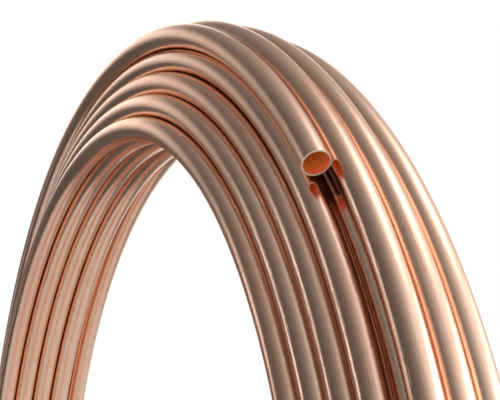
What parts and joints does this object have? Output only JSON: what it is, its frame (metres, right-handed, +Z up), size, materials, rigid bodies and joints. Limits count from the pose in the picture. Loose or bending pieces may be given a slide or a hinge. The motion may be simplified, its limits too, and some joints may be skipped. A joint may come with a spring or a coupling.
{
  "type": "copper tube coil",
  "caption": "Ring of soft copper tube wound in layers of round turns, standing on its rim, with one open end high on one side.",
  "frame": {"origin": "on the floor, under the middle of the ring", "axes": "+Z up, Y along the ring's axis with the face that the free end lies at towards -Y, +X towards the side where the free end is"},
  "size_m": [0.8086, 0.0914, 0.8086],
  "materials": {
    "copper": "bright drawn soft copper"
  },
  "bodies": {
    "root": {"copper_tube_coil": "copper"}
  },
  "joints": []
}
